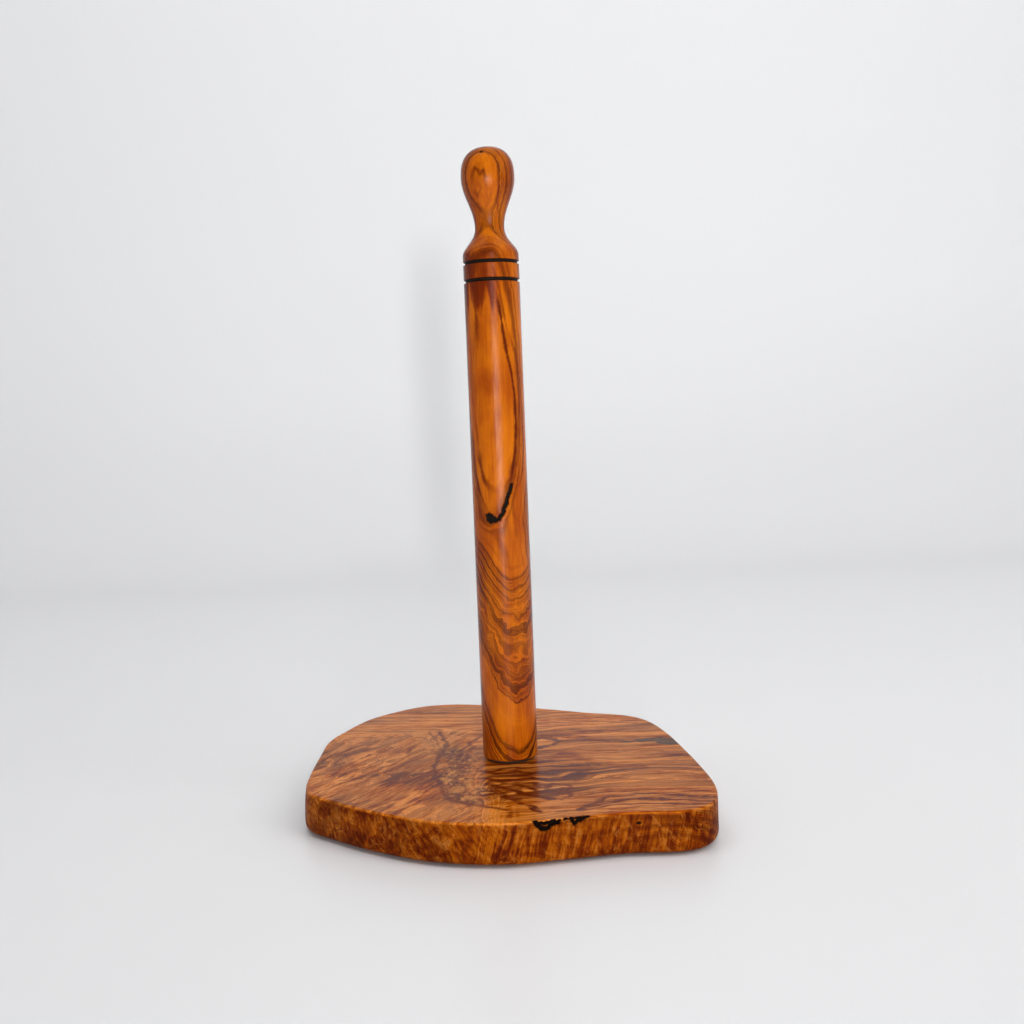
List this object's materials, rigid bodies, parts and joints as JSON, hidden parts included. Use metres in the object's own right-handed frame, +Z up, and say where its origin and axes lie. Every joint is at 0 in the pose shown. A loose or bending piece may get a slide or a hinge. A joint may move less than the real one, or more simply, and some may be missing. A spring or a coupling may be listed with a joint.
{
  "type": "paper towel holder",
  "caption": "Upright paper towel holder: a turned wooden post with a ball finial and two burnt rings, screwed onto a live-edge wooden slab.",
  "frame": {"origin": "middle of the whole object's box, on the surface that the pads stand on", "axes": "+Z up along the post, +X to the right and +Y to the back as seen from the front"},
  "size_m": [0.197, 0.2284, 0.3278],
  "materials": {
    "slab_wood": "oiled olive wood slab, glossy, with dark figured streaks",
    "post_wood": "turned olive wood, glossy, golden with dark grain lines",
    "bolt_steel": "zinc-plated steel",
    "insert_zinc": "yellow-passivated zinc alloy",
    "washer_fibre": "thin black washer, matte",
    "pad_felt": "dark brown pressed felt"
  },
  "bodies": {
    "base": {"base_slab": "slab_wood", "threaded_insert": "insert_zinc", "pad_front_left": "pad_felt", "pad_front_right": "pad_felt", "pad_back_left": "pad_felt", "pad_back_right": "pad_felt"},
    "washer": {"foot_washer": "washer_fibre"},
    "post": {"post": "post_wood", "hanger_bolt": "bolt_steel"}
  },
  "joints": [
    {"name": "post_rise", "type": "slide", "parent": "base", "child": "washer", "axis": [0, 0, 1], "range_m": [0, 0.009]},
    {"name": "post_turn", "type": "hinge", "parent": "washer", "child": "post", "pos_m": [0.0035, -0.009, 0.0208], "axis": [0, 0, 1], "range_deg": [0, 2592]}
  ],
  "couplings": [
    {"joint": "post_rise", "follows": "post_turn", "m_per_rad": 0.00019894}
  ]
}
